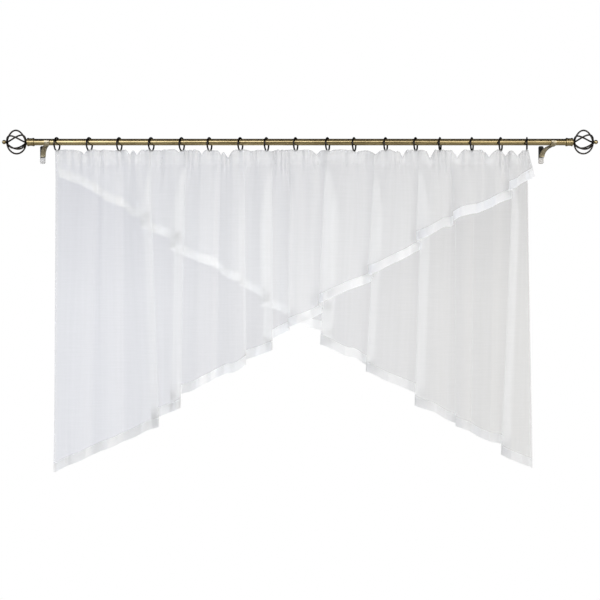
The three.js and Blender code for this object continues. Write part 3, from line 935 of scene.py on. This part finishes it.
def bracket_strap(name):
    """Strap that hooks under the rod and bends down to the plate, which lies a little to the left."""
    reach = ROD_RADIUS + FIT_GAP + ARM["thickness"] / 2
    foot = WALL_DISTANCE - PLATE["thickness"] - FIT_GAP - ARM["thickness"] / 2
    angles = np.radians(np.linspace(ARM["lip"], 90, HOOK_STEPS, endpoint=False))
    hook = np.stack([-reach * np.cos(angles), -reach * np.sin(angles)], -1)
    behind = lerp(-reach, ARM["foot"], ARM_BEND["behind"])
    corners = np.array([(0, -reach), (foot * ARM_BEND["under"], -reach), (foot, behind), (foot, ARM["foot"])])
    line = np.concatenate([hook, bezier(*corners, np.linspace(0, 1, ARM_STEPS)[:, None])])
    ahead = np.gradient(line, axis=0)
    ahead /= np.linalg.norm(ahead, axis=1)[:, None]
    across, up = rounded_box(ARM["width"], ARM["thickness"], ARM_EDGE, ARM_CORNER_STEPS).T
    outlines = []
    for (y, z), (dy, dz) in zip(line, ahead):
        lean = -ARM["lean"] / WALL_DISTANCE * y
        outlines.append(np.stack([SADDLE[name] + lean + across, y - dz * up, z + dy * up], -1))
    shape = Shape().add(*stack(outlines))
    piece(f"{name}_bracket_strap", shape, ARM_METAL, [f"{name}_bracket_arm"])


pole()
hanging_rings()
for name, side in (("left", -1), ("right", 1)):
    finial_cup(name, side)
    finial_wires(name, side)
    finial_knob(name, side)
for name in ("left", "right"):
    wall_strap(name)
    bracket_strap(name)

# Light and camera

CAMERA_DISTANCE = 3.5
VIEW_WIDTH = 1.740
VIEW_DROP = 0.458
SENSOR = 36.0
FLOOR = {"half_width": 6.0, "near": -6.0, "far": 3.4, "drop": -2.2}

# Lights: name, place, target, size, watts, colour
LIGHTS = (
    ("key_box", (5.2, -5.4, -0.3), (0, 0, -0.45), (2.6, 2.6), 190, (1, 0.985, 0.955)),
    ("side_box", (1.7, -4.0, -0.5), (0, 0, -0.5), (0.9, 1.6), 13, (1, 0.99, 0.97)),
    ("fill_box", (-1.9, -3.4, -0.6), (-0.45, 0, -0.5), (1.6, 2.0), 25, (0.78, 0.87, 1)),
    ("back_box", (-0.2, 0.4, -0.40), (-0.2, 0, -0.40), (0.3, 0.2), 0.65, (0.9, 0.95, 1)),
    ("rod_strip", (0, -0.75, 2.0), (0, 0, 0), (3.0, 0.35), 9, (1, 1, 1)),
)

# Colours of the room by direction. A stop is a place from 0, left, near or down, to 1, right, far or up
WHITE = (1, 1, 1)
WALL_GLOSS = (0.02, 0.02, 0.02)
LEVEL_GLOSS = (0.26, 0.26, 0.26)
SHINE = (7.6, 8.0, 9.4)
ROOM_BY_DEPTH = ((0.3, grey(0.315)), (0.7, grey(1.07)))
GLOSS_BY_HEIGHT = (
    (0.0, (0.42, 0.40, 0.36)), (0.5, LEVEL_GLOSS), (0.54, LEVEL_GLOSS), (0.59, SHINE), (0.66, SHINE),
    (0.74, WALL_GLOSS),
)
GLOSS_BY_DEPTH = ((0.4, WHITE), (0.52, WALL_GLOSS))
GLOSS_BY_SIDE = ((0.48, WHITE), (0.59, (0.6, 0.58, 0.56)))
BEHIND_BY_SIDE = ((0.42, (0.755, 0.765, 0.81)), (0.5, (0.70, 0.70, 0.72)), (0.58, (0.685, 0.68, 0.67)))
BEHIND_BY_HEIGHT = ((0.5, WHITE), (0.565, (0.785, 0.785, 0.80)))


def aimed(data, name, place, target):
    """Light or camera at a place in rod coordinates, looking at a target there."""
    made = bpy.data.objects.new(name, data)
    made.location = Vector(ROD_MIDDLE) + Vector(place)
    made.rotation_euler = (Vector(target) - Vector(place)).to_track_quat("-Z", "Y").to_euler()
    bpy.context.scene.collection.objects.link(made)
    return made


def softboxes():
    for name, place, target, size, watts, colour in LIGHTS:
        light = bpy.data.lights.new(name, "AREA")
        light.shape = "RECTANGLE"
        light.size, light.size_y = size
        light.energy = watts
        light.color = colour
        aimed(light, name, place, target)


def room():
    """World that is white past the part, a graded backdrop through the sheer cloth, a graded room in
    reflections, and soft light from the front and the back for all else."""
    world = bpy.data.worlds.new("studio")
    bpy.context.scene.world = world
    world.use_nodes = True
    world.cycles.sampling_method = "NONE"
    tree = world.node_tree

    def node(kind, *sources):
        """Node of a kind, with its first inputs linked to the sources."""
        made = tree.nodes.new(kind)
        for socket, source in zip(made.inputs, sources):
            tree.links.new(source, socket)
        return made

    def graded(direction, stops):
        """Colour that changes along one direction of the room, from -1 to 1."""
        spread = node("ShaderNodeMapRange", direction)
        spread.inputs["From Min"].default_value = -1
        shade = node("ShaderNodeValToRGB", spread.outputs[0])
        fill_ramp(shade.color_ramp, stops)
        return shade.outputs[0]

    def times(a, b):
        made = node("ShaderNodeVectorMath", a, b)
        made.operation = "MULTIPLY"
        return made.outputs[0]

    path = node("ShaderNodeLightPath").outputs
    ray = node("ShaderNodeSeparateXYZ", node("ShaderNodeTexCoord").outputs["Generated"]).outputs
    direct = node("ShaderNodeMath", path["Is Camera Ray"], path["Transparent Depth"])
    direct.operation = "SUBTRACT"
    direct.use_clamp = True
    gloss = times(graded(ray["Z"], GLOSS_BY_HEIGHT), graded(ray["Y"], GLOSS_BY_DEPTH))
    gloss = times(gloss, graded(ray["X"], GLOSS_BY_SIDE))
    behind = times(graded(ray["X"], BEHIND_BY_SIDE), graded(ray["Z"], BEHIND_BY_HEIGHT))
    plain = node("ShaderNodeRGB").outputs[0]
    plain.default_value = (*WHITE, 1)
    shown = tree.nodes["Background"]
    tree.links.new(graded(ray["Y"], ROOM_BY_DEPTH), shown.inputs["Color"])
    for factor, colour in (
        (path["Is Glossy Ray"], gloss), (path["Is Camera Ray"], behind), (direct.outputs[0], plain),
    ):
        layer = node("ShaderNodeBackground", colour)
        shown = node("ShaderNodeMixShader", factor, shown.outputs[0], layer.outputs[0])
    tree.links.new(shown.outputs[0], tree.nodes["World Output"].inputs["Surface"])
    bpy.context.scene.view_settings.view_transform = "Standard"
    bpy.context.scene.cycles.transparent_max_bounces = 32


def floor():
    """Pale floor far below the rod."""
    finish = Finish("pale_floor", Roughness=0.7)
    speckle = finish.noise(finish.space_place(FLOOR_SPECKLE), detail=4.0)
    finish.drive(Base_Color=finish.ramp(speckle, (0.3, grey(0.76)), (0.7, grey(0.79))))
    x, near, far = FLOOR["half_width"], FLOOR["near"], FLOOR["far"]
    corners = np.array([(-x, near, 0), (x, near, 0), (x, far, 0), (-x, far, 0)])
    mesh = bpy.data.meshes.new("floor")
    mesh.from_pydata((corners + ROD_MIDDLE + (0, 0, FLOOR["drop"])).tolist(), [], [(0, 1, 2, 3)])
    mesh.materials.append(finish.material)
    made = bpy.data.objects.new("floor", mesh)
    bpy.context.scene.collection.objects.link(made)


def camera():
    data = bpy.data.cameras.new("photo_view")
    data.sensor_width = SENSOR
    data.lens = SENSOR * CAMERA_DISTANCE / VIEW_WIDTH
    place, target = (0, -CAMERA_DISTANCE, -VIEW_DROP), (0, 0, -VIEW_DROP)
    bpy.context.scene.camera = aimed(data, "photo_view", place, target)


softboxes()
room()
floor()
camera()
